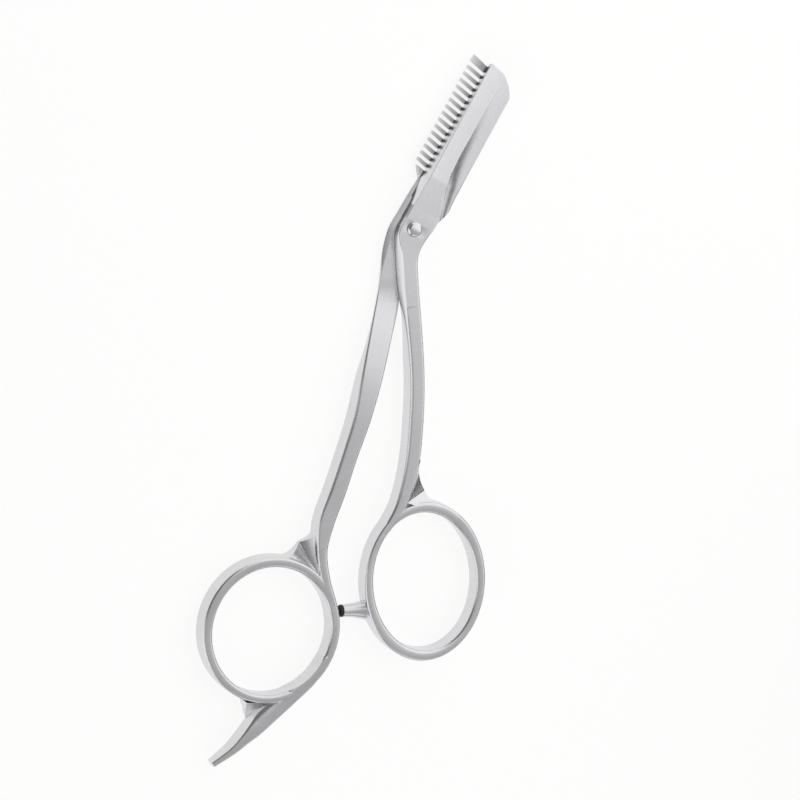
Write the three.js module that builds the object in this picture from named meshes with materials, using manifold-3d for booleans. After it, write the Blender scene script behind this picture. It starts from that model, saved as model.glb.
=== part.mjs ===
// Thinning shears with a comb blade, a straight blade, a riveted pivot and a finger rest.
// Millimetres. Origin on the pivot axis, in the plane that the shears rest on. +Y runs along the
// blades to the tip, +X is the side of the straight blade's cutting edge, +Z runs up the rivet.
// The shears are drawn closed. The cutting half turns about +Z to open.
import * as THREE from "three";
import { ConvexGeometry } from "three/addons/geometries/ConvexGeometry.js";
import { mergeVertices } from "three/addons/utils/BufferGeometryUtils.js";
import Module from "manifold-3d";

const wasm = await Module();
wasm.setup();

// Driving dimensions.
const THICKNESS = 4.2; // rings and handles, and the two halves together at the pivot
const WEB_TOP = THICKNESS - 0.04;
const REAR_FACE = 2.0; // height of the comb half's inner face
const FRONT_FACE = 2.2; // height of the cutting half's inner face
const EDGE = 0.3; // rounding of the rear edges
const TOP_EDGE = 0.45; // rounding of the front edges
const UNDERCUT_RUN = 0.5; // how far an undercut goes in for each millimetre that it goes up
const BLADE_HEEL_Y = 10;
const BLADE_TIP_Y = 33.5;
const BLADE_TIP_TOP = 2.95; // the blade thins from THICKNESS at its heel to this at its tip
const REAR_TIP_BOTTOM = 0.9; // the comb blade thins from the other side
const SLOT_COUNT = 16; // slots between the comb's teeth, which leave one more tooth
const TOOTH_PITCH = 1.365;
const TOOTH_SLANT = THREE.MathUtils.degToRad(9);
const SLOT_WIDTH_TIP = 0.84;
const SLOT_WIDTH_ROOT = 0.62;
const RIVET_SHAFT_RADIUS = 1.0;
const RIVET_HEAD_RADIUS = 1.42;
const RIVET_HEAD_RISE = 0.75;
const RIVET_HOLE_RADIUS = 1.15;
const RIVET_TAIL_RADIUS = 1.6; // the tail is spread into a countersink in the comb half's rear face
const RIVET_TAIL_HEIGHT = 0.6;
const WASHER_RADIUS = 2.3;
const BUMPER_RADIUS = 1.15;
const BUMPER_LENGTH = 0.75;
const BUMPER_ROUNDING = 0.3;
const BUMPER_STEM_RADIUS = 0.55;
const BUMPER_STEM_LENGTH = 1.9;
const RING_STEPS = 72;

// Each finger ring lies between two ellipses. along and across are half axes, turn is in degrees.
const LEFT_RING = {
  inner: { x: 15.7, y: -77.27, along: 12.06, across: 11.59, turn: 123 },
  outer: { x: 15.56, y: -77.18, along: 13.85, across: 13.5, turn: 123 },
};
const RIGHT_RING = {
  inner: { x: 37.56, y: -55.34, along: 13.16, across: 10.1, turn: -51 },
  outer: { x: 37.61, y: -55.32, along: 15.1, across: 11.92, turn: -56.5 },
};

const STEEL = { color: 0xc4c4c6, roughness: 0.32, metalness: 1 };
const NYLON = { color: 0xe8e6de, roughness: 0.6, metalness: 0 };
const RUBBER = { color: 0x151515, roughness: 0.75, metalness: 0 };

// ---- solids ----

function solidFrom(geometry) {
  const bare = geometry.index ? geometry.toNonIndexed() : geometry.clone();
  bare.deleteAttribute("normal");
  bare.deleteAttribute("uv");
  const merged = mergeVertices(bare, 1e-3);
  const mesh = new wasm.Mesh({
    numProp: 3,
    vertProperties: merged.attributes.position.array,
    triVerts: new Uint32Array(merged.index.array),
  });
  return new wasm.Manifold(mesh);
}

function join(solids) {
  return solids.reduce((whole, solid) => whole.add(solid));
}

function meshFrom(name, solid, finish) {
  const mesh = solid.getMesh();
  const stride = mesh.numProp;
  const positions = new Float32Array(mesh.numVert * 3);
  for (let i = 0; i < mesh.numVert; i += 1) {
    positions.set(mesh.vertProperties.subarray(i * stride, i * stride + 3), i * 3);
  }
  const geometry = new THREE.BufferGeometry();
  geometry.setAttribute("position", new THREE.BufferAttribute(positions, 3));
  geometry.setIndex(new THREE.BufferAttribute(new Uint32Array(mesh.triVerts), 1));
  geometry.computeVertexNormals();
  const made = new THREE.Mesh(geometry, new THREE.MeshStandardMaterial(finish));
  made.name = name;
  return made;
}

// A closed solid through a list of sections. Every section has the same number of points, listed
// counter-clockwise as seen by someone looking back along the direction of travel.
function loft(sections, closed = false) {
  const count = sections[0].length;
  const positions = [];
  const put = (...points) => points.forEach((p) => positions.push(p.x, p.y, p.z));
  const spans = closed ? sections.length : sections.length - 1;
  for (let i = 0; i < spans; i += 1) {
    const here = sections[i];
    const next = sections[(i + 1) % sections.length];
    for (let k = 0; k < count; k += 1) {
      const m = (k + 1) % count;
      put(here[k], here[m], next[m]);
      put(here[k], next[m], next[k]);
    }
  }
  if (!closed) {
    const last = sections[sections.length - 1];
    const flat = sections[0].map((unused, k) => flatPoint(sections[0], k));
    const flatLast = last.map((unused, k) => flatPoint(last, k));
    for (const [a, b, c] of THREE.ShapeUtils.triangulateShape(flat, [])) {
      put(sections[0][c], sections[0][b], sections[0][a]);
    }
    for (const [a, b, c] of THREE.ShapeUtils.triangulateShape(flatLast, [])) {
      put(last[a], last[b], last[c]);
    }
  }
  const geometry = new THREE.BufferGeometry();
  geometry.setAttribute("position", new THREE.Float32BufferAttribute(positions, 3));
  const solid = solidFrom(geometry);
  return solid.volume() < 0 ? solidFrom(flipped(geometry)) : solid;
}

// A section's point in the section's own plane: across the section and up.
function flatPoint(section, k) {
  const first = section[0];
  const far = section.reduce((best, p) =>
    Math.hypot(p.x - first.x, p.y - first.y) > Math.hypot(best.x - first.x, best.y - first.y) ? p : best,
  );
  const length = Math.hypot(far.x - first.x, far.y - first.y);
  const ux = (far.x - first.x) / length;
  const uy = (far.y - first.y) / length;
  const p = section[k];
  return new THREE.Vector2((p.x - first.x) * ux + (p.y - first.y) * uy, p.z);
}

function flipped(geometry) {
  const copy = geometry.clone();
  const array = copy.attributes.position.array;
  for (let i = 0; i < array.length; i += 9) {
    for (let k = 0; k < 3; k += 1) {
      [array[i + 3 + k], array[i + 6 + k]] = [array[i + 6 + k], array[i + 3 + k]];
    }
  }
  return copy;
}

function prism(outline, bottom, top) {
  const shape = new THREE.Shape(outline.map(([x, y]) => new THREE.Vector2(x, y)));
  const geometry = new THREE.ExtrudeGeometry(shape, { depth: top - bottom, bevelEnabled: false });
  geometry.translate(0, 0, bottom);
  return solidFrom(geometry);
}

function hull(points) {
  return solidFrom(new ConvexGeometry(points.map(([x, y, z]) => new THREE.Vector3(x, y, z))));
}

// A solid of revolution about a vertical axis through (x, y).
function turned(profile, x = 0, y = 0, steps = 32) {
  const lathe = new THREE.LatheGeometry(profile.map(([r, z]) => new THREE.Vector2(r, z)), steps);
  lathe.rotateX(Math.PI / 2);
  lathe.translate(x, y, 0);
  const solid = solidFrom(lathe);
  return solid.volume() < 0 ? solidFrom(flipped(lathe.toNonIndexed())) : solid;
}

// ---- bars: the shanks, rings and finger rest are all swept from one rounded rectangle ----

// A bar's section at a station: across the bar from -width / 2 to width / 2, between two heights.
// flank is how far the upper left edge is cut back, and drop is how deep that cut goes. under is how
// high the lower left edge is undercut.
function barSection(place, side, { width, bottom, top, flank, drop, under }) {
  const half = width / 2;
  const right = Math.min(TOP_EDGE, half * 0.5);
  const points = [
    [-half, bottom + EDGE + under],
    [-half + EDGE + under * UNDERCUT_RUN, bottom],
    [half - EDGE, bottom],
    [half, bottom + EDGE],
    [half, top - right],
    [half - right, top],
    [-half + Math.min(flank, half * 0.9), top],
    [-half, top - drop],
  ];
  return points.map(
    ([across, z]) => new THREE.Vector3(place.x + side.x * across, place.y + side.y * across, z),
  );
}

// stations: [x, y, width, bottom, top, flank, drop, under], joined by a smooth curve.
function bar(stations, steps) {
  const path = new THREE.SplineCurve(stations.map(([x, y]) => new THREE.Vector2(x, y)));
  const value = (t, index, fallback) => {
    const s = t * (stations.length - 1);
    const i = Math.min(Math.floor(s), stations.length - 2);
    const a = stations[i][index] ?? fallback;
    const b = stations[i + 1][index] ?? fallback;
    return THREE.MathUtils.lerp(a, b, THREE.MathUtils.smoothstep(s - i, 0, 1));
  };
  const sections = [];
  for (let i = 0; i <= steps; i += 1) {
    const t = i / steps;
    const place = path.getPoint(t);
    const ahead = path.getPoint(Math.min(1, t + 1e-3));
    const behind = path.getPoint(Math.max(0, t - 1e-3));
    const way = ahead.sub(behind).normalize();
    const side = new THREE.Vector2(-way.y, way.x);
    sections.push(
      barSection(place, side, {
        width: value(t, 2),
        bottom: value(t, 3, 0),
        top: value(t, 4, THICKNESS),
        flank: value(t, 5, TOP_EDGE),
        drop: value(t, 6, TOP_EDGE),
        under: value(t, 7, 0),
      }),
    );
  }
  return loft(sections);
}

// The point of an ellipse that lies in the direction of angle, near enough for a mild ellipse.
function ellipsePoint(ellipse, angle) {
  const turn = THREE.MathUtils.degToRad(ellipse.turn);
  const a = ellipse.along * Math.cos(angle - turn);
  const b = ellipse.across * Math.sin(angle - turn);
  return new THREE.Vector2(
    ellipse.x + a * Math.cos(turn) - b * Math.sin(turn),
    ellipse.y + a * Math.sin(turn) + b * Math.cos(turn),
  );
}

function ringAngles() {
  return Array.from({ length: RING_STEPS }, (unused, i) => (i / RING_STEPS) * 2 * Math.PI);
}

function ringHole(ring) {
  const outline = ringAngles().map((angle) => ellipsePoint(ring.inner, angle));
  return prism(outline.map((p) => [p.x, p.y]), -1, THICKNESS + 1);
}

function fingerRing(ring) {
  const sections = ringAngles().map((angle) => {
    const inner = ellipsePoint(ring.inner, angle);
    const outer = ellipsePoint(ring.outer, angle);
    return barSection(inner.clone().add(outer).multiplyScalar(0.5), outer.clone().sub(inner).normalize(), {
      width: inner.distanceTo(outer),
      bottom: 0,
      top: THICKNESS,
      flank: TOP_EDGE,
      drop: TOP_EDGE,
      under: 0,
    });
  });
  return loft(sections, true);
}

// A forged web in a crotch: two sheets that fall from the top face to one low corner, and meet in a
// valley. Each rim is a list of points [x, y, z] from the low corner up to the top face, and inner is
// the top of the valley.
function crotchWeb(inner, rims) {
  const wedges = [];
  for (const rim of rims) {
    for (let i = 0; i + 1 < rim.length; i += 1) {
      const [a, b] = [rim[i], rim[i + 1]];
      const corners = [a, b, inner];
      wedges.push(hull([...corners, ...corners.map(([x, y]) => [x, y, 0])]));
    }
  }
  return join(wedges);
}

// ---- the cutting half: straight blade, crank, handle, ring and stop peg ----

const BLADE_START_Y = 3.4;
const BLADE_LEFT = [-3.3, -2.75]; // x of the blade's back at the heel and at the tip
const BLADE_EDGE = [4.72, 4.12]; // x of the cutting edge at the heel and at the tip
const NECK_LEFT = -2.65;
const NECK_RIGHT = 3.5;
const RIDGE_X = 0.5;
const PLUNGE_Y = 17; // the ridge starts to swing over to the edge here
const PLUNGE_END_Y = 4;
const PLUNGE_RUN = 3.2;
const LAND = 0.12; // thickness of the cutting edge
const HEEL_LAND = 1.0; // how much thicker the edge is where the grind runs out at the heel
const GRIND_SLOPE = 0.62; // steepest rise of the bevel for each millimetre across
const SHOULDER = 1.3; // width of the rounded shoulder beside the plunge
const HOLLOW = 0.12; // depth of the hollow grind as a share of the bevel's height

// The straight blade: a flat back strip, a ridge, and a hollow-ground bevel down to the edge. Near the
// heel the bevel can't reach the top, so a rounded shoulder comes down to meet it.
function bladeSection(y) {
  const t = THREE.MathUtils.clamp((y - BLADE_HEEL_Y) / (BLADE_TIP_Y - BLADE_HEEL_Y), 0, 1);
  const top = THREE.MathUtils.lerp(THICKNESS, BLADE_TIP_TOP, t);
  const settled = THREE.MathUtils.smoothstep(y, BLADE_START_Y, BLADE_HEEL_Y);
  const left = THREE.MathUtils.lerp(NECK_LEFT, THREE.MathUtils.lerp(...BLADE_LEFT, t), settled);
  const edge = THREE.MathUtils.lerp(...BLADE_EDGE, t);
  const plunge = Math.max(0, (PLUNGE_Y - y) / (PLUNGE_Y - PLUNGE_END_Y));
  const ridge = Math.min(RIDGE_X + PLUNGE_RUN * plunge ** 2.2, edge - 0.45);
  const heel = 1 - THREE.MathUtils.smoothstep(y, BLADE_START_Y, BLADE_HEEL_Y);
  const land = FRONT_FACE + LAND + HEEL_LAND * heel;
  const crest = Math.min(top, land + (edge - ridge) * GRIND_SLOPE);
  const shoulder = ridge - SHOULDER * THREE.MathUtils.smoothstep(top - crest, -0.05, 0.4);
  const flare = 0.06 + 0.75 * (1 - t) * settled;
  const points = [[left, FRONT_FACE], [edge, FRONT_FACE], [edge, land]];
  for (const s of [0.25, 0.5, 0.75]) {
    const hollow = HOLLOW * (crest - land) * Math.sin(Math.PI * s);
    points.push([THREE.MathUtils.lerp(edge, ridge, s), THREE.MathUtils.lerp(land, crest, s) - hollow]);
  }
  points.push([ridge, crest]);
  for (const s of [0.35, 0.7]) {
    points.push([THREE.MathUtils.lerp(ridge - 0.03, shoulder - 0.06, s), top - (top - crest) * (1 - s) ** 2]);
  }
  points.push([shoulder - 0.08, top], [left + flare, top]);
  return points.map(([x, z]) => new THREE.Vector3(x, y, z));
}

function straightBlade() {
  const stations = 26;
  const sections = [];
  for (let i = 0; i <= stations; i += 1) {
    sections.push(bladeSection(THREE.MathUtils.lerp(BLADE_START_Y, BLADE_TIP_Y, i / stations)));
  }
  const outline = new THREE.Shape();
  outline.moveTo(-3.4, BLADE_START_Y);
  outline.lineTo(NECK_RIGHT, BLADE_START_Y);
  outline.quadraticCurveTo(4.3, 4.3, 4.78, 6.2);
  outline.lineTo(4.5, 29);
  outline.quadraticCurveTo(3.6, 31.3, 0.4, 33);
  outline.lineTo(-2.3, BLADE_TIP_Y);
  outline.lineTo(-2.8, 33.1);
  outline.lineTo(-3.0, 32.4);
  outline.lineTo(-3.4, 10);
  const plan = prism(outline.getPoints(6).map((p) => [p.x, p.y]), 0, THICKNESS + 1);
  return loft(sections).intersect(plan);
}

// The flat neck of the cutting half, which the rivet passes through.
function cuttingNeck() {
  const low = 0.9;
  const reach = BLADE_START_Y + 0.4;
  const outline = [[NECK_LEFT, low], [NECK_RIGHT - 0.1, low], [NECK_RIGHT, reach], [NECK_LEFT, reach]];
  return prism(outline, FRONT_FACE, THICKNESS);
}

function cuttingHandle() {
  return bar(
    [
      [0.4, 1.2, 6.15, FRONT_FACE, THICKNESS, 0.1, 0.1],
      [0.5, -1.6, 5.75, FRONT_FACE, THICKNESS, 0.25, 0.4],
      [2.0, -5.2, 4.0, FRONT_FACE, THICKNESS, 0.9, 1.6],
      [5.4, -10.0, 3.7, FRONT_FACE, THICKNESS, 0.8, 1.5],
      [9.4, -14.9, 3.2, 1.5, THICKNESS, 0.5, 0.6],
      [14.0, -21.0, 2.95, 0, THICKNESS],
      [17.3, -26.0, 2.9, 0, THICKNESS],
      [20.2, -31.1, 2.95, 0, THICKNESS],
      [22.9, -36.4, 2.9, 0, THICKNESS],
      [24.7, -41.2, 2.7, 0, THICKNESS],
      [25.75, -46.0, 2.2, 0, THICKNESS],
      [25.5, -50.8, 1.35, 0, THICKNESS],
    ],
    44,
  );
}

const PEG_ROOT = new THREE.Vector3(31.0, -65.1, THICKNESS / 2);
const PEG_TIP = new THREE.Vector3(26.7, -67.6, THICKNESS / 2);
const PEG_RADIUS = 1.2;
const PEG_FLARE = 0.9; // how much wider the peg is where it runs into the ring

// Turns a solid of revolution, drawn along +Z from the peg's tip, to lie along the peg.
function alongPeg(profile, steps) {
  const way = PEG_ROOT.clone().sub(PEG_TIP).normalize();
  const lathe = new THREE.LatheGeometry(profile.map(([r, z]) => new THREE.Vector2(r, z)), steps);
  const turn = new THREE.Quaternion().setFromUnitVectors(new THREE.Vector3(0, 1, 0), way);
  lathe.applyQuaternion(turn);
  lathe.translate(PEG_TIP.x, PEG_TIP.y, PEG_TIP.z);
  const solid = solidFrom(lathe);
  return solid.volume() < 0 ? solidFrom(flipped(lathe.toNonIndexed())) : solid;
}

// The stop peg flares into the ring, and a blind hole in its tip takes the bumper's stem.
function stopPeg() {
  const length = PEG_ROOT.distanceTo(PEG_TIP);
  const clear = 0.08; // round the bumper's stem
  const profile = [
    [0, BUMPER_STEM_LENGTH + clear],
    [BUMPER_STEM_RADIUS + clear, BUMPER_STEM_LENGTH + clear],
    [BUMPER_STEM_RADIUS + clear, 0],
    [PEG_RADIUS - 0.1, 0],
  ];
  for (const s of [0.05, 0.25, 0.45, 0.6, 0.75, 0.9]) {
    profile.push([PEG_RADIUS + PEG_FLARE * s ** 2, s * length]);
  }
  profile.push([0, length]);
  return alongPeg(profile, 24);
}

function cuttingHalf() {
  const web = crotchWeb([26.3, -44.3, WEB_TOP], [
    [[28.9, -40.7, 2.3], [27.0, -39.6, 2.9], [25.3, -38.0, 3.6], [24.3, -36.2, WEB_TOP]],
    [[28.9, -40.7, 2.3], [30.1, -41.4, 2.9], [32.0, -42.1, 3.6], [34.3, -42.9, WEB_TOP]],
  ]);
  const body = join([
    straightBlade(),
    cuttingNeck(),
    cuttingHandle().subtract(ringHole(RIGHT_RING)),
    fingerRing(RIGHT_RING),
    web.subtract(ringHole(RIGHT_RING)),
    stopPeg(),
  ]);
  return body.subtract(turned(tube(RIVET_HOLE_RADIUS, -1, THICKNESS + 1)));
}

function tube(radius, bottom, top) {
  return [[0, bottom], [radius, bottom], [radius, top], [0, top]];
}

// ---- the comb half: comb blade, handle, ring and finger rest ----

// The comb blade before its slots are cut. Its long side carries the teeth.
function combBlank() {
  const stations = 8;
  const sections = [];
  for (let i = 0; i <= stations; i += 1) {
    const t = i / stations;
    const y = THREE.MathUtils.lerp(5, 34.2, t);
    const bottom = THREE.MathUtils.lerp(0.05, REAR_TIP_BOTTOM, t);
    const points = [
      [-6.6, REAR_FACE - 0.75],
      [-3.0, bottom],
      [2.6, bottom],
      [3.5, REAR_FACE - 0.5],
      [3.5, REAR_FACE],
      [-6.6, REAR_FACE],
    ];
    sections.push(points.map(([x, z]) => new THREE.Vector3(x, y, z)));
  }
  const outline = [
    [-2.9, 5],
    [3.5, 5],
    [3.5, 27],
    [1.2, 31.6],
    [-2.4, 32.5],
    [-6.0, 33.3],
    [-6.1, 32.3],
    [-5.35, 10.9],
    [-3.4, 8.9],
    [-2.9, 8.5],
  ];
  return loft(sections).intersect(prism(outline, -1, THICKNESS));
}

// One slot between two teeth, wider at the tips.
function combSlot(index) {
  const y = 10.55 + index * TOOTH_PITCH;
  const rootX = -0.6;
  const reach = 8;
  const drift = Math.tan(TOOTH_SLANT);
  const rise = (x) => y - (x + 3) * drift;
  const tipX = rootX - reach;
  const outline = new THREE.Shape();
  outline.moveTo(tipX, rise(tipX) - SLOT_WIDTH_TIP / 2);
  outline.lineTo(rootX, rise(rootX) - SLOT_WIDTH_ROOT / 2);
  outline.absarc(rootX, rise(rootX), SLOT_WIDTH_ROOT / 2, -Math.PI / 2, Math.PI / 2);
  outline.lineTo(tipX, rise(tipX) + SLOT_WIDTH_TIP / 2);
  return prism(outline.getPoints(4).map((p) => [p.x, p.y]), -1, THICKNESS);
}

function combBlade() {
  let blade = combBlank();
  for (let i = 0; i < SLOT_COUNT; i += 1) {
    blade = blade.subtract(combSlot(i));
  }
  return blade;
}

// The comb half's neck and handle. The neck and the top of the handle are undercut along the left.
function combHandle() {
  const t = THICKNESS;
  return bar(
    [
      [0.02, 8.6, 6.95, 0.15, REAR_FACE, 0.1, 0.1, 1.25],
      [-0.05, 6.0, 7.1, 0, REAR_FACE, 0.1, 0.1, 1.4],
      [-0.07, 3.6, 7.15, 0, REAR_FACE, 0.1, 0.1, 1.4],
      [-0.08, 1.2, 7.15, 0, REAR_FACE, 0.1, 0.1, 1.4],
      [-0.4, -1.9, 6.5, 0, REAR_FACE, 0.15, 0.15, 1.3],
      [-0.1, -5.4, 4.9, 0, REAR_FACE, 0.2, 0.2, 1.2],
      [1.75, -9.6, 4.6, 0, REAR_FACE, 0.2, 0.2, 1.2],
      [3.5, -13.6, 4.75, 0, 2.08, 0.25, 0.25, 1.4],
      [5.6, -20.7, 4.6, 0, 3.2, 0.3, 0.3, 2.1],
      [7.83, -27.9, 4.35, 0, 4.0, 0.4, 0.4, 0.7],
      [10.1, -35.1, 3.65, 0, t],
      [11.75, -42.4, 3.25, 0, t],
      [13.2, -48.8, 3.3, 0, t],
      [14.4, -54.9, 3.2, 0, t],
      [16.5, -59.9, 2.2, 0, t],
      [20.0, -64.2, 1.95, 0, t],
      [24.2, -68.1, 1.9, 0, t],
      [26.85, -71.6, 1.5, 0, t],
    ],
    62,
  );
}

// The hooked rest for the little finger, which leaves the ring on its outer side. Its inner side is
// cut back beside the web, and it thins towards the tip.
function fingerRest() {
  const t = THICKNESS;
  return bar(
    [
      [28.2, -76.6, 1.8, 0, t],
      [27.5, -81.3, 2.4, 0, t],
      [25.7, -86.2, 2.95, 0, t, 1.0, 0.7],
      [23.6, -91.4, 3.5, 0, t, 1.7, 1.0],
      [22.8, -94.4, 3.05, 0, t, 1.2, 0.7],
      [21.9, -97.5, 2.1, 0.1, t - 0.1],
      [21.0, -100.2, 1.5, 0.25, t - 0.25],
      [19.2, -104.1, 1.1, 0.8, t - 0.8],
    ],
    34,
  );
}

function combHalf() {
  const handleWeb = crotchWeb([18.2, -64.0, WEB_TOP], [
    [[12.7, -60.5, 1.0], [13.6, -59.2, 1.9], [14.1, -57.6, 3.0], [13.9, -55.2, WEB_TOP]],
    [[12.7, -60.5, 1.0], [12.5, -61.9, 1.9], [11.9, -63.3, 3.0], [10.2, -65.0, WEB_TOP]],
  ]);
  const restWeb = crotchWeb([24.6, -87.8, WEB_TOP], [
    [[21.3, -93.7, 0.6], [20.2, -92.6, 1.6], [18.4, -91.0, WEB_TOP]],
    [[21.3, -93.7, 0.6], [22.2, -94.1, 1.4], [23.2, -93.6, 2.4]],
  ]);
  const hole = ringHole(LEFT_RING);
  const body = join([
    combBlade(),
    combHandle().add(fingerRest()).subtract(hole),
    fingerRing(LEFT_RING),
    handleWeb.add(restWeb).subtract(hole),
  ]);
  return body.subtract(turned(tube(RIVET_HOLE_RADIUS, -1, THICKNESS + 1)).add(countersink()));
}

// The hole's countersink in the comb half's rear face, 0.15 mm larger than the rivet's tail.
function countersink() {
  const clear = RIVET_HOLE_RADIUS - RIVET_SHAFT_RADIUS;
  return turned([
    [0, -1],
    [RIVET_TAIL_RADIUS + clear, -1],
    [RIVET_TAIL_RADIUS + clear, 0],
    [RIVET_HOLE_RADIUS, RIVET_TAIL_HEIGHT],
    [0, RIVET_TAIL_HEIGHT],
  ]);
}

// ---- the small pieces ----

// A solid rivet: domed head over the cutting half, and a flat tail spread in the comb half's
// countersink.
function rivet() {
  const headBottom = THICKNESS + 0.05;
  const profile = [
    [0, 0],
    [RIVET_TAIL_RADIUS, 0],
    [RIVET_SHAFT_RADIUS, RIVET_TAIL_HEIGHT],
    [RIVET_SHAFT_RADIUS, headBottom],
  ];
  profile.push([RIVET_HEAD_RADIUS, headBottom]);
  const steps = 6;
  for (let i = 0; i <= steps; i += 1) {
    const angle = (i / steps) * (Math.PI / 2);
    const z = headBottom + 0.15 + (RIVET_HEAD_RISE - 0.15) * Math.sin(angle);
    profile.push([RIVET_HEAD_RADIUS * Math.cos(angle), z]);
  }
  profile[profile.length - 1][0] = 0;
  return turned(profile, 0, 0, 40);
}

function washer() {
  const clear = 0.03;
  const bottom = REAR_FACE + clear;
  const top = FRONT_FACE - clear;
  const ring = [
    [RIVET_HOLE_RADIUS, bottom],
    [WASHER_RADIUS, bottom],
    [WASHER_RADIUS, top],
    [RIVET_HOLE_RADIUS, top],
    [RIVET_HOLE_RADIUS, bottom],
  ];
  return turned(ring, 0, 0, 40);
}

function bumper() {
  const gap = 0.06; // between the bumper and the peg's end
  return alongPeg(
    [
      [0, -BUMPER_LENGTH],
      [BUMPER_RADIUS - BUMPER_ROUNDING, -BUMPER_LENGTH],
      [BUMPER_RADIUS - BUMPER_ROUNDING * 0.3, BUMPER_ROUNDING * 0.3 - BUMPER_LENGTH],
      [BUMPER_RADIUS, BUMPER_ROUNDING - BUMPER_LENGTH],
      [BUMPER_RADIUS, -gap],
      [BUMPER_STEM_RADIUS, -gap],
      [BUMPER_STEM_RADIUS, BUMPER_STEM_LENGTH - 0.3],
      [BUMPER_STEM_RADIUS - 0.2, BUMPER_STEM_LENGTH],
      [0, BUMPER_STEM_LENGTH],
    ],
    24,
  );
}

const shears = new THREE.Group();
shears.add(
  meshFrom("comb_half", combHalf(), STEEL),
  meshFrom("cutting_half", cuttingHalf(), STEEL),
  meshFrom("pivot_rivet", rivet(), STEEL),
  meshFrom("pivot_washer", washer(), NYLON),
  meshFrom("stop_bumper", bumper(), RUBBER),
);

export default shears;
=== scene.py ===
import math

import bmesh
import bpy
from mathutils import Matrix, Vector


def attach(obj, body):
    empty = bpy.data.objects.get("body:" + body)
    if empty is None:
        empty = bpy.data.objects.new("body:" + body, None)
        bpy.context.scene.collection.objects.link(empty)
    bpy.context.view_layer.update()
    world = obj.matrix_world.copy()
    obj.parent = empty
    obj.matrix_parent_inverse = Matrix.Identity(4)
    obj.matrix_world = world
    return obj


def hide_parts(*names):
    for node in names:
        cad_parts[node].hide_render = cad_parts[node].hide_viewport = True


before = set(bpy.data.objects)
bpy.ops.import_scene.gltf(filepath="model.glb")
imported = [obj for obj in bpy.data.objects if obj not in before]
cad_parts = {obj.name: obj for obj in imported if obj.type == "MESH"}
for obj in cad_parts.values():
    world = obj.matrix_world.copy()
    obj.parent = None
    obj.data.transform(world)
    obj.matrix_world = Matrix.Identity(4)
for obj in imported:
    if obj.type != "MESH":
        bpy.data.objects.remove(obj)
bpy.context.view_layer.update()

# Shape values are in millimetres, in the frame of the CAD model, and are turned into metres as
# each mesh is made. The origin is on the pivot axis and +Y runs to the blade tips.
MM = 0.001
THICKNESS = 4.2
REAR_FACE = 2.0
FRONT_FACE = 2.2
EDGE = 0.3
TOP_EDGE = 0.6
UNDERCUT_RUN = 0.5
WEB_TOP = THICKNESS - 0.04
BLADE_START_Y = 3.4
BLADE_HEEL_Y = 10.0
BLADE_TIP_Y = 33.5
BLADE_TIP_TOP = 2.95
BLADE_LEFT = (-3.3, -2.75)
BLADE_EDGE = (4.72, 4.12)
REAR_TIP_BOTTOM = 0.9
NECK_LEFT = -2.65
NECK_RIGHT = 3.5
RIDGE_X = 0.5
PLUNGE_Y = 17.0
PLUNGE_END_Y = 4.0
PLUNGE_RUN = 3.2
LAND = 0.12
HEEL_LAND = 1.0
GRIND_SLOPE = 0.56
SHOULDER = 1.3
HOLLOW = 0.12
SLOT_COUNT = 16
TOOTH_PITCH = 1.365
TOOTH_SLANT = math.radians(9)
SLOT_WIDTH_TIP = 0.84
SLOT_WIDTH_ROOT = 0.62
RIVET_HOLE_RADIUS = 1.15
RIVET_SHAFT_RADIUS = 1.0
RIVET_HEAD_RADIUS = 1.42
RIVET_HEAD_RISE = 0.75
RIVET_TAIL_RADIUS = 1.6
RIVET_TAIL_HEIGHT = 0.6
BUMPER_RADIUS = 1.15
BUMPER_LENGTH = 0.75
BUMPER_STEM_RADIUS = 0.55
BUMPER_STEM_LENGTH = 1.9
PEG_ROOT = Vector((31.0, -65.1, THICKNESS / 2))
PEG_TIP = Vector((26.7, -67.6, THICKNESS / 2))
PEG_RADIUS = 1.2
PEG_FLARE = 0.9
# Each ring lies between two ellipses: (x, y, half axis along, half axis across, turn in degrees).
LEFT_RING = {"inner": (15.7, -77.27, 12.06, 11.59, 123), "outer": (15.56, -77.18, 13.85, 13.5, 123)}
RIGHT_RING = {"inner": (37.56, -55.34, 13.16, 10.1, -51), "outer": (37.61, -55.32, 15.1, 11.92, -56.5)}
RING_STEPS = 180


def lerp(a, b, t):
    return a + (b - a) * t


def smoothstep(x, low, high):
    t = min(1.0, max(0.0, (x - low) / (high - low)))
    return t * t * (3 - 2 * t)


# ---- mesh building ----


def mesh_object(name, vertices, faces):
    """An object whose vertices are given in millimetres."""
    mesh = bpy.data.meshes.new(name)
    mesh.from_pydata([tuple(c * MM for c in v) for v in vertices], [], faces)
    bm = bmesh.new()
    bm.from_mesh(mesh)
    bmesh.ops.recalc_face_normals(bm, faces=bm.faces)
    bm.to_mesh(mesh)
    bm.free()
    made = bpy.data.objects.new(name, mesh)
    bpy.context.scene.collection.objects.link(made)
    return made


def loft(name, sections, closed=False):
    """A closed solid through sections that all have the same number of points."""
    count = len(sections[0])
    vertices = [p for section in sections for p in section]
    faces = []
    spans = len(sections) if closed else len(sections) - 1
    for i in range(spans):
        here = i * count
        after = ((i + 1) % len(sections)) * count
        for k in range(count):
            m = (k + 1) % count
            faces.append((here + k, here + m, after + m, after + k))
    if not closed:
        faces.append(tuple(range(count - 1, -1, -1)))
        last = (len(sections) - 1) * count
        faces.append(tuple(range(last, last + count)))
    return mesh_object(name, vertices, faces)


def prism(name, outline, bottom, top):
    return loft(name, [[(x, y, z) for x, y in outline] for z in (bottom, top)])


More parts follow.
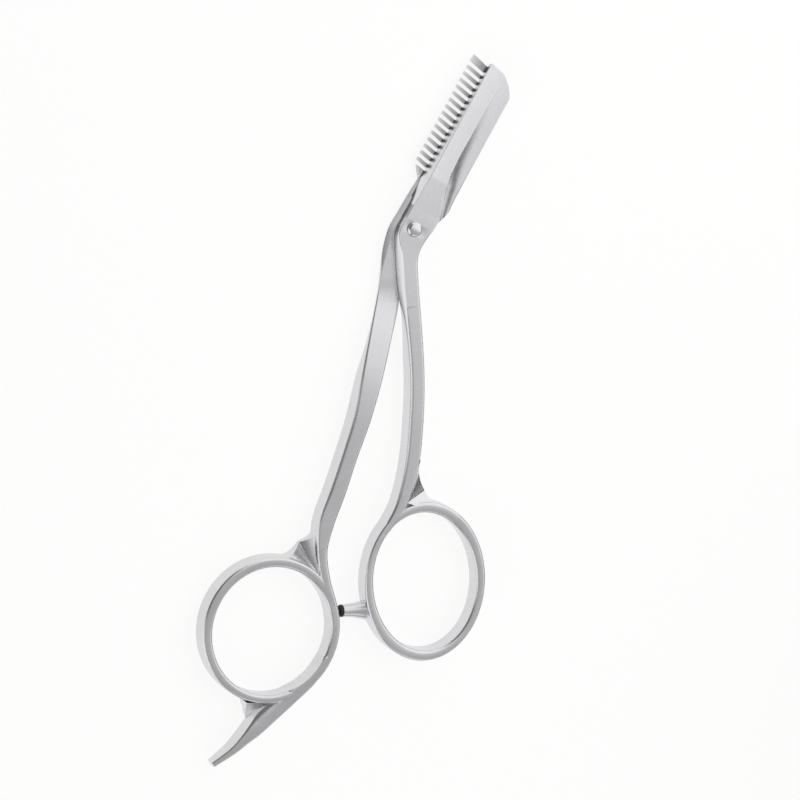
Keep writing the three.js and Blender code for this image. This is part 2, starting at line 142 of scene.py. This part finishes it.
def turned(name, profile, steps, place=Vector((0, 0, 0)), way=Vector((0, 0, 1))):
    """A solid of revolution of (radius, height) points, whose ends lie on the axis."""
    turn = Vector((0, 0, 1)).rotation_difference(way)
    vertices, faces, rings = [], [], []
    for radius, height in profile:
        if radius == 0:
            rings.append([len(vertices)])
            vertices.append(place + turn @ Vector((0, 0, height)))
            continue
        rings.append(list(range(len(vertices), len(vertices) + steps)))
        for k in range(steps):
            angle = 2 * math.pi * k / steps
            around = Vector((radius * math.cos(angle), radius * math.sin(angle), height))
            vertices.append(place + turn @ around)
    for low, high in zip(rings, rings[1:]):
        for k in range(steps):
            m = (k + 1) % steps
            if len(low) == 1:
                faces.append((low[0], high[m], high[k]))
            elif len(high) == 1:
                faces.append((low[k], low[m], high[0]))
            else:
                faces.append((low[k], low[m], high[m], high[k]))
    return mesh_object(name, vertices, faces)


def boolean(base, others, operation):
    """Joins or cuts base with the others, which are used up."""
    for other in others:
        step = base.modifiers.new("step", "BOOLEAN")
        step.operation = operation
        step.object = other
        step.solver = "MANIFOLD"
        bake_modifiers(base)
        bpy.data.objects.remove(other, do_unlink=True)
    return base


def bake_modifiers(piece):
    graph = bpy.context.evaluated_depsgraph_get()
    done = bpy.data.meshes.new_from_object(piece.evaluated_get(graph))
    piece.modifiers.clear()
    piece.data = done


# ---- the bars that the handles, rings and finger rest are swept from ----


def arc_corner(centre, radius, start, steps=4):
    """Points round a rounded corner, from angle start, a quarter turn clockwise in the section."""
    points = []
    for i in range(steps + 1):
        angle = start - (math.pi / 2) * i / steps
        points.append((centre[0] + radius * math.cos(angle), centre[1] + radius * math.sin(angle)))
    return points


def bar_section(place, side, width, bottom, top, flank, drop, under):
    """A rounded rectangle whose lower left edge is undercut and upper left edge is cut back."""
    half = width / 2
    e = min(EDGE, half * 0.45)
    right = min(TOP_EDGE, half * 0.55)
    flat = []
    low = Vector((-half + e + under * UNDERCUT_RUN, bottom))
    high = Vector((-half, bottom + e + under))
    fullness = lerp(0.8, 0.15, smoothstep(under, 0, 0.6))
    flat += curve(low, low.lerp(high, 0.5).lerp(Vector((-half, bottom)), fullness), high, 5)
    low = Vector((-half, top - drop))
    high = Vector((-half + min(flank, half * 0.9), top))
    fullness = lerp(0.75, 0.4, smoothstep(drop, TOP_EDGE, 1.5))
    fullness *= 1 - 0.85 * smoothstep(flank / drop, 1.5, 2.4)
    flat += curve(low, low.lerp(high, 0.5).lerp(Vector((-half, top)), fullness), high, 9)
    flat += arc_corner((half - right, top - right), right, math.pi / 2, 6)
    flat += arc_corner((half - e, bottom + e), e, 0)
    return [(place.x + side.x * a, place.y + side.y * a, z) for a, z in flat]


def curve(low, pull, high, steps):
    """Points of a quadratic curve, ends included."""
    points = []
    for i in range(steps):
        t = i / (steps - 1)
        points.append(tuple(low * (1 - t) ** 2 + pull * (2 * t * (1 - t)) + high * t ** 2))
    return points


def spline(points, t):
    """A Catmull-Rom curve through the points, with t from 0 to 1."""
    s = t * (len(points) - 1)
    i = min(int(s), len(points) - 2)
    w = s - i
    p0, p1, p2, p3 = (points[min(max(i + k, 0), len(points) - 1)] for k in (-1, 0, 1, 2))
    v0, v1 = (p2 - p0) * 0.5, (p3 - p1) * 0.5
    return (
        p1 + v0 * w + (3 * (p2 - p1) - 2 * v0 - v1) * w ** 2 + (2 * (p1 - p2) + v0 + v1) * w ** 3
    )


def bar(name, stations, steps):
    """stations: (x, y, width, bottom, top, flank, drop, under), joined by a smooth curve."""
    usual = [0, THICKNESS, TOP_EDGE, TOP_EDGE, 0]
    places = [Vector(s[:2]) for s in stations]
    values = [Vector(list(s[2:]) + usual[len(s) - 3:]) for s in stations]
    sections = []
    for i in range(steps + 1):
        t = i / steps
        place = spline(places, t)
        way = (spline(places, min(1, t + 1e-3)) - spline(places, max(0, t - 1e-3))).normalized()
        side = Vector((-way.y, way.x))
        width, bottom, top, flank, drop, under = spline(values, t)
        heights = (max(0, bottom), min(THICKNESS, top))
        cuts = (max(0.05, flank), max(0.05, drop), max(0, under))
        sections.append(bar_section(place, side, width, *heights, *cuts))
    return loft(name, sections)


def ring_point(ellipse, angle):
    x, y, along, across, turn = ellipse
    turn = math.radians(turn)
    a = along * math.cos(angle - turn)
    b = across * math.sin(angle - turn)
    across_x = a * math.cos(turn) - b * math.sin(turn)
    across_y = a * math.sin(turn) + b * math.cos(turn)
    return Vector((x + across_x, y + across_y))


def ring_angles():
    return [2 * math.pi * i / RING_STEPS for i in range(RING_STEPS)]


def finger_ring(name, ring):
    sections = []
    for angle in ring_angles():
        inner, outer = ring_point(ring["inner"], angle), ring_point(ring["outer"], angle)
        side = (outer - inner).normalized()
        width = (outer - inner).length
        place = (inner + outer) / 2
        sections.append(bar_section(place, side, width, 0, THICKNESS, TOP_EDGE, TOP_EDGE, 0))
    return loft(name, sections, closed=True)


def ring_hole(ring):
    outline = [tuple(ring_point(ring["inner"], angle)) for angle in ring_angles()]
    return prism("ring_hole", outline, -1, THICKNESS + 1)


def crotch_web(inner, rims):
    """Two sheets that fall from the top face to one low corner and meet in a valley. Each rim runs
    from the low corner up to the top face, and inner is the top of the valley."""
    samples = 14
    curves = [[spline([Vector(p) for p in rim], i / samples) for i in range(samples + 1)] for rim in rims]
    edge = curves[0][::-1] + curves[1][1:]
    top = [Vector(inner)] + edge
    floor_points = [Vector((p.x, p.y, 0.05)) for p in top]
    count = len(top)
    faces = [(0, i, i + 1) for i in range(1, count - 1)]
    faces += [(count, count + i + 1, count + i) for i in range(1, count - 1)]
    for i in range(count):
        m = (i + 1) % count
        faces.append((i, count + i, count + m, m))
    return mesh_object("web", top + floor_points, faces)


def quadratic(start, control, end, steps=8):
    points = []
    for i in range(1, steps + 1):
        t = i / steps
        points.append(
            tuple(
                (1 - t) ** 2 * a + 2 * t * (1 - t) * b + t * t * c
                for a, b, c in zip(start, control, end)
            )
        )
    return points


# ---- the cutting half ----


def blade_section(y):
    """A back strip, a ridge and a hollow-ground bevel, with a rounded shoulder near the heel."""
    t = min(1.0, max(0.0, (y - BLADE_HEEL_Y) / (BLADE_TIP_Y - BLADE_HEEL_Y)))
    top = lerp(THICKNESS, BLADE_TIP_TOP, t)
    settled = smoothstep(y, BLADE_START_Y, BLADE_HEEL_Y)
    left = lerp(NECK_LEFT, lerp(*BLADE_LEFT, t), settled)
    edge = lerp(*BLADE_EDGE, t)
    plunge = max(0.0, (PLUNGE_Y - y) / (PLUNGE_Y - PLUNGE_END_Y))
    ridge = min(RIDGE_X + PLUNGE_RUN * plunge ** 2.2, edge - 0.45)
    land = FRONT_FACE + LAND + HEEL_LAND * (1 - settled)
    crest = min(top, land + (edge - ridge) * GRIND_SLOPE)
    shoulder = ridge - SHOULDER * smoothstep(top - crest, -0.05, 0.4)
    flare = 0.06 + 0.75 * (1 - t) * settled
    flat = [(left, FRONT_FACE), (edge, FRONT_FACE), (edge, land)]
    for k in range(1, 13):
        s = k / 13
        hollow = HOLLOW * (crest - land) * math.sin(math.pi * s)
        flat.append((lerp(edge, ridge, s), lerp(land, crest, s) - hollow))
    for k in range(9):
        s = k / 9
        flat.append((lerp(ridge, shoulder - 0.08, s), top - (top - crest) * (1 - s) ** 2))
    flat.append((shoulder - 0.12, top))
    flat += [(left + flare + 0.12, top), (left + flare + 0.03, top - 0.04)]
    flat += [(left + flare - 0.03, top - 0.14), (left, FRONT_FACE + 0.12)]
    return [(x, y, z) for x, z in flat]


def straight_blade():
    stations = 150
    ys = [lerp(BLADE_START_Y, BLADE_TIP_Y + 0.3, i / stations) for i in range(stations + 1)]
    blade = loft("blade", [blade_section(y) for y in ys])
    plan = [(-3.4, BLADE_START_Y - 0.1), (NECK_RIGHT, BLADE_START_Y - 0.1)]
    plan += quadratic(plan[-1], (4.3, 4.3), (4.78, 6.2))
    plan.append((4.5, 29))
    plan += quadratic(plan[-1], (3.6, 31.3), (0.4, 33))
    plan += [(-2.3, BLADE_TIP_Y)]
    plan += quadratic(plan[-1], (-2.75, 33.55), (-3.0, 32.4), 4)
    plan.append((-3.4, 10))
    return boolean(blade, [prism("plan", plan, 0, THICKNESS + 1)], "INTERSECT")


def cutting_neck():
    sections = []
    e = 0.1
    for y, right in ((0.9, NECK_RIGHT - 0.1), (BLADE_START_Y + 0.4, NECK_RIGHT)):
        flat = [
            (NECK_LEFT, FRONT_FACE),
            (right, FRONT_FACE),
            (right, THICKNESS - e),
            (right - e, THICKNESS),
            (NECK_LEFT + e, THICKNESS),
            (NECK_LEFT, THICKNESS - e),
        ]
        sections.append([(x, y, z) for x, z in flat])
    return loft("cutting_neck", sections)


def cutting_handle():
    t = THICKNESS
    return bar(
        "cutting_handle",
        [
            (0.4, 1.2, 6.15, FRONT_FACE, t, 0.1, 0.1, 0),
            (0.5, -1.6, 5.75, FRONT_FACE, t, 0.25, 0.4, 0),
            (2.0, -5.2, 4.0, FRONT_FACE, t, 0.9, 1.6, 0),
            (5.4, -10.0, 3.7, FRONT_FACE, t, 0.8, 1.5, 0),
            (9.4, -14.9, 3.2, 1.5, t, 0.65, 0.8, 0),
            (14.0, -21.0, 2.95),
            (17.3, -26.0, 2.9),
            (20.2, -31.1, 2.95),
            (22.9, -36.4, 2.9),
            (24.7, -41.2, 2.7),
            (25.75, -46.0, 2.2),
            (25.5, -50.8, 1.35),
        ],
        160,
    )


def stop_peg():
    length = (PEG_ROOT - PEG_TIP).length
    clear = 0.08
    profile = [
        (0, BUMPER_STEM_LENGTH + clear),
        (BUMPER_STEM_RADIUS + clear, BUMPER_STEM_LENGTH + clear),
        (BUMPER_STEM_RADIUS + clear, 0),
        (PEG_RADIUS - 0.12, 0),
        (PEG_RADIUS - 0.03, 0.06),
    ]
    for i in range(1, 19):
        s = 0.9 * i / 18
        profile.append((PEG_RADIUS + PEG_FLARE * s ** 2, s * length))
    profile.append((0, length))
    return turned("stop_peg", profile, 72, PEG_TIP, (PEG_ROOT - PEG_TIP).normalized())


def rivet_hole():
    high = THICKNESS + 1
    profile = [(0, -1), (RIVET_HOLE_RADIUS, -1), (RIVET_HOLE_RADIUS, high), (0, high)]
    return turned("rivet_hole", profile, 64)


def cutting_half():
    hole = RIGHT_RING
    handle = boolean(cutting_handle(), [ring_hole(hole)], "DIFFERENCE")
    rims = [
        [(28.9, -40.7, 2.3), (27.0, -39.6, 2.9), (25.3, -38.0, 3.6), (24.3, -36.2, WEB_TOP)],
        [(28.9, -40.7, 2.3), (30.1, -41.4, 2.9), (32.0, -42.1, 3.6), (34.3, -42.9, WEB_TOP)],
    ]
    web = boolean(crotch_web((26.3, -44.3, WEB_TOP), rims), [ring_hole(hole)], "DIFFERENCE")
    pieces = [handle, web, stop_peg(), cutting_neck(), straight_blade()]
    body = boolean(finger_ring("cutting_half_forged", hole), pieces, "UNION")
    return boolean(body, [rivet_hole()], "DIFFERENCE")


# ---- the comb half ----


def comb_blade():
    sections = []
    for i in range(9):
        t = i / 8
        bottom = lerp(0.05, REAR_TIP_BOTTOM, t)
        y = lerp(5, 34.2, t)
        flat = [
            (-6.6, REAR_FACE - 0.75),
            (-3.0, bottom),
            (2.6, bottom),
            (3.5, REAR_FACE - 0.5),
            (3.5, REAR_FACE),
            (-6.6, REAR_FACE),
        ]
        sections.append([(x, y, z) for x, z in flat])
    outline = [
        (-2.9, 5),
        (3.5, 5),
        (3.5, 27),
        (1.2, 31.6),
        (-2.4, 32.5),
        (-6.0, 33.3),
        (-6.1, 32.3),
        (-5.35, 10.9),
        (-3.4, 8.9),
        (-2.9, 8.5),
    ]
    blank = boolean(loft("comb", sections), [prism("plan", outline, -1, THICKNESS)], "INTERSECT")
    return boolean(blank, [comb_slot(i) for i in range(SLOT_COUNT)], "DIFFERENCE")


def comb_slot(index):
    y = 10.55 + index * TOOTH_PITCH
    root_x = -0.6
    tip_x = root_x - 8
    drift = math.tan(TOOTH_SLANT)

    def rise(x):
        return y - (x + 3) * drift

    outline = [(tip_x, rise(tip_x) - SLOT_WIDTH_TIP / 2)]
    for i in range(9):
        angle = -math.pi / 2 + math.pi * i / 8
        radius = SLOT_WIDTH_ROOT / 2
        outline.append((root_x + radius * math.cos(angle), rise(root_x) + radius * math.sin(angle)))
    outline.append((tip_x, rise(tip_x) + SLOT_WIDTH_TIP / 2))
    return prism("slot", outline, -1, THICKNESS)


def comb_handle():
    """The comb half's neck and handle, undercut along the left down to where the cutting half leaves."""
    t, rear = THICKNESS, REAR_FACE
    return bar(
        "comb_handle",
        [
            (0.02, 8.6, 6.95, 0.15, rear, 1.3, 0.45, 1.25),
            (-0.05, 6.0, 7.1, 0, rear, 1.3, 0.45, 1.4),
            (-0.07, 3.6, 7.15, 0, rear, 1.3, 0.45, 1.4),
            (-0.08, 1.2, 7.15, 0, rear, 1.3, 0.45, 1.4),
            (-0.4, -1.9, 6.5, 0, rear, 1.2, 0.42, 1.3),
            (-0.1, -5.4, 4.9, 0, rear, 0.9, 0.35, 1.2),
            (1.75, -9.6, 4.6, 0, rear, 0.2, 0.2, 1.2),
            (3.5, -13.6, 4.75, 0, 2.08, 0.25, 0.25, 1.4),
            (5.6, -20.7, 4.6, 0, 3.2, 0.4, 0.4, 2.1),
            (7.83, -27.9, 4.35, 0, 4.0, 0.6, 0.6, 0.7),
            (10.1, -35.1, 3.65, 0, t, 0.7, 0.7, 0),
            (11.75, -42.4, 3.25, 0, t, 0.7, 0.7, 0),
            (13.2, -48.8, 3.3, 0, t, 0.7, 0.7, 0),
            (14.4, -54.9, 3.2, 0, t, 0.5, 0.5, 0),
            (16.5, -59.9, 2.2),
            (20.0, -64.2, 1.95),
            (24.2, -68.1, 1.9),
            (26.85, -71.6, 1.5),
        ],
        220,
    )


def finger_rest():
    t = THICKNESS
    return bar(
        "finger_rest",
        [
            (28.2, -76.6, 1.8),
            (27.5, -81.3, 2.4),
            (25.7, -86.2, 2.95, 0, t, 1.0, 0.7, 0),
            (23.6, -91.4, 3.5, 0, t, 1.7, 1.0, 0),
            (22.8, -94.4, 3.05, 0, t, 1.2, 0.7, 0),
            (21.9, -97.5, 2.1, 0.1, t - 0.1, 0.5, 0.5, 0),
            (21.0, -100.2, 1.5, 0.25, t - 0.25, 0.4, 0.45, 0),
            (19.2, -104.1, 1.1, 0.8, t - 0.8, 0.3, 0.4, 0),
        ],
        110,
    )


def comb_half():
    hole = LEFT_RING
    handle_rims = [
        [(12.7, -60.5, 1.0), (13.6, -59.2, 1.9), (14.1, -57.6, 3.0), (13.9, -55.2, WEB_TOP)],
        [(12.7, -60.5, 1.0), (12.5, -61.9, 1.9), (11.9, -63.3, 3.0), (10.2, -65.0, WEB_TOP)],
    ]
    rest_rims = [
        [(21.3, -93.7, 0.6), (20.2, -92.6, 1.6), (18.4, -91.0, WEB_TOP)],
        [(21.3, -93.7, 0.6), (22.2, -94.1, 1.4), (23.2, -93.6, 2.4)],
    ]
    webs = [crotch_web((18.2, -64.0, WEB_TOP), handle_rims), crotch_web((24.6, -87.8, WEB_TOP), rest_rims)]
    handle = boolean(comb_handle(), [finger_rest(), *webs], "UNION")
    handle = boolean(handle, [ring_hole(hole)], "DIFFERENCE")
    body = boolean(finger_ring("comb_half_forged", hole), [handle, comb_blade()], "UNION")
    return boolean(body, [rivet_hole(), countersink()], "DIFFERENCE")


def countersink():
    clear = RIVET_HOLE_RADIUS - RIVET_SHAFT_RADIUS
    wide = RIVET_TAIL_RADIUS + clear
    profile = [
        (0, -1),
        (wide, -1),
        (wide, 0),
        (RIVET_HOLE_RADIUS, RIVET_TAIL_HEIGHT),
        (0, RIVET_TAIL_HEIGHT),
    ]
    return turned("countersink", profile, 64)


# ---- the small pieces ----


def rivet():
    seat = THICKNESS + 0.05
    profile = [
        (0, 0),
        (RIVET_TAIL_RADIUS - 0.06, 0),
        (RIVET_TAIL_RADIUS, 0.05),
        (RIVET_SHAFT_RADIUS, RIVET_TAIL_HEIGHT),
        (RIVET_SHAFT_RADIUS, seat),
        (RIVET_HEAD_RADIUS - 0.05, seat),
        (RIVET_HEAD_RADIUS, seat + 0.05),
    ]
    for i in range(17):
        angle = (i / 16) * math.pi / 2
        height = seat + 0.15 + (RIVET_HEAD_RISE - 0.15) * math.sin(angle)
        profile.append((RIVET_HEAD_RADIUS * math.cos(angle), height))
    profile[-1] = (0, profile[-1][1])
    return turned("pivot_rivet_turned", profile, 96)


def bumper():
    gap = 0.06
    profile = [(0, -BUMPER_LENGTH)]
    for i in range(1, 13):
        angle = (i / 12) * math.pi / 2
        radius = BUMPER_RADIUS * math.sin(angle) ** 0.8
        profile.append((radius, -BUMPER_LENGTH + 0.35 * (1 - math.cos(angle))))
    profile += [
        (BUMPER_RADIUS, -gap),
        (BUMPER_STEM_RADIUS, -gap),
        (BUMPER_STEM_RADIUS, BUMPER_STEM_LENGTH - 0.3),
        (BUMPER_STEM_RADIUS - 0.2, BUMPER_STEM_LENGTH),
        (0, BUMPER_STEM_LENGTH),
    ]
    return turned("stop_bumper_moulded", profile, 64, PEG_TIP, (PEG_ROOT - PEG_TIP).normalized())


# ---- finishing ----


def finish_metal(piece, sharp_degrees=32, bevel_mm=0.05):
    """Breaks the sharp edges and gives flat faces flat shading beside them."""
    if bevel_mm:
        soft = piece.modifiers.new("edges", "BEVEL")
        soft.width = bevel_mm * MM
        soft.segments = 2
        soft.limit_method = "ANGLE"
        soft.angle_limit = math.radians(sharp_degrees)
        soft.use_clamp_overlap = True
        bake_modifiers(piece)
    piece.data.shade_smooth()
    piece.data.set_sharp_from_angle(angle=math.radians(55))
    weighted = piece.modifiers.new("normals", "WEIGHTED_NORMAL")
    weighted.keep_sharp = True
    weighted.weight = 50
    bake_modifiers(piece)
    mark_edges(piece)


def mark_edges(piece):
    """Stores how sharply the surface turns at each vertex, for the wear along edges."""
    bm = bmesh.new()
    bm.from_mesh(piece.data)
    layer = bm.verts.layers.float.new("edge_wear")
    for v in bm.verts:
        turns = [e.calc_face_angle(0.0) for e in v.link_edges]
        v[layer] = min(1.0, max(turns, default=0.0) / math.radians(40))
    bm.to_mesh(piece.data)
    bm.free()


# ---- materials ----

# Painted shade between the comb's teeth: the comb blade's colour darkens from the tooth tips towards the
# roots.
PAINTED_SHADE_X = (-0.0062, -0.0036)  # metres: the tooth tips, and where the painted shade is full
PAINTED_SHADE_Y = (0.0075, 0.011)  # metres: the painted shade fades in past the neck
PAINTED_SHADE_COLOUR = (0.3, 0.3, 0.305, 1)


class Nodes:
    """Short helpers for one material's node tree."""

    def __init__(self, name):
        self.material = bpy.data.materials.new(name)
        self.material.use_nodes = True
        self.tree = self.material.node_tree
        self.shader = self.tree.nodes["Principled BSDF"]
        self.place = self.tree.nodes.new("ShaderNodeTexCoord").outputs["Object"]

    def add(self, kind, settings=None, **inputs):
        node = self.tree.nodes.new(kind)
        for key, value in (settings or {}).items():
            setattr(node, key, value)
        for key, value in inputs.items():
            self.put(node, key.replace("_", " "), value)
        return node

    def put(self, node, key, value):
        if isinstance(value, bpy.types.NodeSocket):
            self.tree.links.new(value, node.inputs[key])
        else:
            node.inputs[key].default_value = value

    def noise(self, scale, stretch=(1, 1, 1), detail=3.0, roughness=0.5):
        mapped = self.add("ShaderNodeMapping", Vector=self.place, Scale=stretch)
        made = self.add(
            "ShaderNodeTexNoise",
            Vector=mapped.outputs["Vector"],
            Scale=scale,
            Detail=detail,
            Roughness=roughness,
        )
        return made.outputs["Fac"]

    def remap(self, value, low, high, from_low=0.3, from_high=0.7):
        made = self.add("ShaderNodeMapRange")
        for key, number in zip(
            ("From Min", "From Max", "To Min", "To Max"), (from_low, from_high, low, high)
        ):
            made.inputs[key].default_value = number
        self.put(made, "Value", value)
        return made.outputs["Result"]

    def math(self, operation, a, b):
        made = self.tree.nodes.new("ShaderNodeMath")
        made.operation = operation
        for socket, value in zip(made.inputs, (a, b)):
            if isinstance(value, bpy.types.NodeSocket):
                self.tree.links.new(value, socket)
            else:
                socket.default_value = value
        return made.outputs[0]

    def mix_colour(self, factor, a, b):
        made = self.add("ShaderNodeMix", {"data_type": "RGBA"})
        self.put(made, 0, factor)
        for index, value in ((6, a), (7, b)):
            if isinstance(value, bpy.types.NodeSocket):
                self.tree.links.new(value, made.inputs[index])
            else:
                made.inputs[index].default_value = value
        return made.outputs[2]


def painted_tooth_shade(n):
    """Painted shade on the comb blade, growing from its tooth tips to its roots.

    It stands in for the shade between the teeth, and it goes on under the other blade.
    """
    split = n.add("ShaderNodeSeparateXYZ", Vector=n.place)
    inwards = n.remap(split.outputs["X"], 0.1, 0.9, *PAINTED_SHADE_X)
    past_neck = n.remap(split.outputs["Y"], 0.0, 1.0, *PAINTED_SHADE_Y)
    return n.math("MULTIPLY", inwards, past_neck)


def satin_steel(name, grain, tone, roughness, painted_root_shade=False):
    """Satin-ground stainless steel. grain is the stretch of the grinding lines, in 1/m."""
    n = Nodes(name)
    lines = n.noise(1.0, grain, detail=4.0, roughness=0.6)
    cloud = n.noise(90.0, detail=2.0)
    pits = n.noise(5200.0, detail=2.0)
    wear = n.add("ShaderNodeAttribute", {"attribute_name": "edge_wear"}).outputs["Fac"]
    wear = n.math("MULTIPLY", wear, n.remap(n.noise(700.0, detail=3.0), 0.35, 1.0))
    dark = [c * 0.93 for c in tone] + [1]
    light = [min(1, c * 1.04) for c in tone] + [1]
    colour = n.mix_colour(n.remap(cloud, 0.2, 0.8), dark, light)
    colour = n.mix_colour(n.math("MULTIPLY", wear, 0.5), colour, (0.86, 0.86, 0.87, 1))
    # Painted shade between the teeth, mixed into the comb's base colour.
    if painted_root_shade:
        colour = n.mix_colour(painted_tooth_shade(n), colour, PAINTED_SHADE_COLOUR)
    n.put(n.shader, "Base Color", colour)
    n.shader.inputs["Metallic"].default_value = 1.0
    rough = n.math("ADD", n.remap(lines, -0.05, 0.05), n.remap(cloud, roughness - 0.02, roughness + 0.03))
    n.put(n.shader, "Roughness", n.math("SUBTRACT", rough, n.math("MULTIPLY", wear, 0.06)))
    height = n.math("ADD", n.math("MULTIPLY", lines, 1.0), n.math("MULTIPLY", pits, 0.5))
    bump = n.add("ShaderNodeBump", Strength=0.035, Distance=0.00001, Height=height)
    n.put(n.shader, "Normal", bump.outputs["Normal"])
    return n.material


def rubber():
    n = Nodes("black_rubber")
    grain = n.noise(6000.0, detail=3.0)
    dust = n.noise(900.0, detail=4.0)
    colour = n.mix_colour(n.remap(dust, 0, 1), (0.012, 0.012, 0.013, 1), (0.03, 0.03, 0.03, 1))
    n.put(n.shader, "Base Color", colour)
    n.put(n.shader, "Roughness", n.remap(grain, 0.6, 0.8))
    bump = n.add("ShaderNodeBump", Strength=0.3, Distance=0.00003, Height=grain)
    n.put(n.shader, "Normal", bump.outputs["Normal"])
    return n.material


def nylon():
    n = Nodes("natural_nylon")
    cloud = n.noise(500.0, detail=3.0)
    colour = n.mix_colour(n.remap(cloud, 0, 1), (0.74, 0.72, 0.66, 1), (0.82, 0.81, 0.76, 1))
    n.put(n.shader, "Base Color", colour)
    n.put(n.shader, "Roughness", n.remap(n.noise(3000.0), 0.45, 0.6))
    return n.material


def dress(piece, material):
    piece.data.materials.clear()
    piece.data.materials.append(material)


# ---- the pieces ----

STEEL_TONE = (0.70, 0.70, 0.715)
blade_steel = satin_steel("satin_steel_cutting", (9000, 500, 9000), STEEL_TONE, 0.27)
comb_steel = satin_steel("satin_steel_comb", (9000, 500, 9000), (0.69, 0.69, 0.705), 0.28, painted_root_shade=True)
rivet_steel = satin_steel("polished_steel_rivet", (5000, 5000, 9000), (0.74, 0.74, 0.75), 0.2)

cutting = cutting_half()
finish_metal(cutting)
dress(cutting, blade_steel)
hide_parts("cutting_half")
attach(cutting, "cutting_side")

comb = comb_half()
finish_metal(comb)
dress(comb, comb_steel)
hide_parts("comb_half")
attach(comb, "comb_side")

head = rivet()
finish_metal(head, bevel_mm=0)
dress(head, rivet_steel)
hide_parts("pivot_rivet")
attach(head, "comb_side")

tip = bumper()
finish_metal(tip, bevel_mm=0)
dress(tip, rubber())
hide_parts("stop_bumper")
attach(tip, "cutting_side")

dress(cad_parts["pivot_washer"], nylon())

# ---- the floor, the light and the camera ----

# Radiance, with 1 for full white.
FLOOR_GLOW = 0.85
SOFTBOX_ALONG = (0.48, 1.15)
SOFTBOX_ACROSS = (0.85, 1.0)
ROOM_GLOW = 0.15
EDGE_WALL_GLOW = 0.9


def floor():
    """A translucent white table, lit from below."""
    corners = [(-1500, -1500, 0), (1500, -1500, 0), (1500, 1500, 0), (-1500, 1500, 0)]
    made = mesh_object("floor", corners, [(0, 1, 2, 3)])
    made.location.z = -0.00002
    n = Nodes("pale_floor")
    n.shader.inputs["Base Color"].default_value = (0.2, 0.2, 0.2, 1)
    n.shader.inputs["Roughness"].default_value = 0.9
    n.shader.inputs["Specular IOR Level"].default_value = 0.1
    n.shader.inputs["Emission Color"].default_value = (1, 1, 0.995, 1)
    n.shader.inputs["Emission Strength"].default_value = FLOOR_GLOW
    dress(made, n.material)


def sky():
    """A dim room with pale walls beyond the blades and beyond the cutting edge, above a dark skirting."""
    world = bpy.data.worlds.new("dim_room")
    bpy.context.scene.world = world
    world.use_nodes = True
    tree = world.node_tree
    way = tree.nodes.new("ShaderNodeTexCoord").outputs["Generated"]
    split = tree.nodes.new("ShaderNodeSeparateXYZ")
    tree.links.new(way, split.inputs[0])

    def rise(axis, low, high, glow):
        made = tree.nodes.new("ShaderNodeMapRange")
        made.interpolation_type = "SMOOTHSTEP"
        for key, value in (("From Min", low), ("From Max", high), ("To Min", 0), ("To Max", glow)):
            made.inputs[key].default_value = value
        tree.links.new(split.outputs[axis], made.inputs["Value"])
        return made.outputs["Result"]

    def combine(operation, a, b):
        made = tree.nodes.new("ShaderNodeMath")
        made.operation = operation
        tree.links.new(a, made.inputs[0])
        if isinstance(b, bpy.types.NodeSocket):
            tree.links.new(b, made.inputs[1])
        else:
            made.inputs[1].default_value = b
        return made.outputs[0]

    beyond_edge = combine("MULTIPLY", rise("X", 0.1, 0.5, 1.0), rise("Z", 0.18, 0.36, EDGE_WALL_GLOW))
    near = combine("MULTIPLY", rise("Y", -0.3, -0.6, 1.0), rise("X", 0.15, -0.15, 1.0))
    wall = combine("MAXIMUM", rise("Y", 0.45, 0.8, 1.0), beyond_edge)
    wall = combine("MAXIMUM", wall, near)
    tree.links.new(combine("ADD", wall, ROOM_GLOW), tree.nodes["Background"].inputs["Strength"])
    tree.nodes["Background"].inputs["Color"].default_value = (1, 1, 1, 1)


def softbox():
    """A large soft light overhead, brighter towards the blades and dimmer over the comb's side.
    The camera doesn't see it."""
    corners = [(-170, -350, 0), (750, -350, 0), (750, 950, 0), (-170, 950, 0)]
    made = mesh_object("softbox", corners, [(0, 1, 2, 3)])
    made.location.z = 0.36
    made.visible_camera = False
    n = Nodes("softbox_glow")
    split = n.add("ShaderNodeSeparateXYZ", Vector=n.place)
    along = n.remap(split.outputs["Y"], *SOFTBOX_ALONG, -0.07, 0.09)
    across = n.remap(split.outputs["X"], *SOFTBOX_ACROSS, -0.16, 0.12)
    n.put(n.shader, "Emission Strength", n.math("MULTIPLY", along, across))
    n.shader.inputs["Emission Color"].default_value = (1, 1, 1, 1)
    n.shader.inputs["Base Color"].default_value = (0, 0, 0, 1)
    n.shader.inputs["Specular IOR Level"].default_value = 0.0
    dress(made, n.material)


def flag():
    """A low black card beyond the cutting edge, which the blade's heel mirrors. The camera
    doesn't see it."""
    corners = [(160, -60, 0.2), (160, 150, 0.2), (160, 150, 56), (160, -60, 56)]
    made = mesh_object("flag", corners, [(0, 1, 2, 3)])
    made.visible_camera = False
    n = Nodes("black_card")
    n.put(n.shader, "Base Color", n.mix_colour(n.noise(40.0), (0.02, 0.02, 0.02, 1), (0.03, 0.03, 0.03, 1)))
    n.shader.inputs["Roughness"].default_value = 0.9
    dress(made, n.material)


def camera():
    """A long lens, tilted to the comb's side and rolled so that the blades point up and right."""
    tilt, roll = math.radians(24), math.radians(30)
    target = Vector((14.6, -28.5, THICKNESS)) * MM
    distance, frame_width, sensor = 2.0, 0.14744, 36.0
    back = Vector((-math.sin(tilt), 0, math.cos(tilt)))
    across = Vector((math.cos(tilt), 0, math.sin(tilt)))
    along = Vector((0, 1, 0))
    right = across * math.cos(roll) + along * math.sin(roll)
    up = along * math.cos(roll) - across * math.sin(roll)
    data = bpy.data.cameras.new("camera")
    data.sensor_width = sensor
    data.lens = sensor * distance / frame_width
    data.clip_end = 10
    made = bpy.data.objects.new("camera", data)
    turn = Matrix((right, up, back)).transposed().to_4x4()
    made.matrix_world = Matrix.Translation(target + back * distance) @ turn
    bpy.context.scene.collection.objects.link(made)
    bpy.context.scene.camera = made


floor()
sky()
softbox()
flag()
camera()
bpy.context.scene.view_settings.view_transform = "Standard"
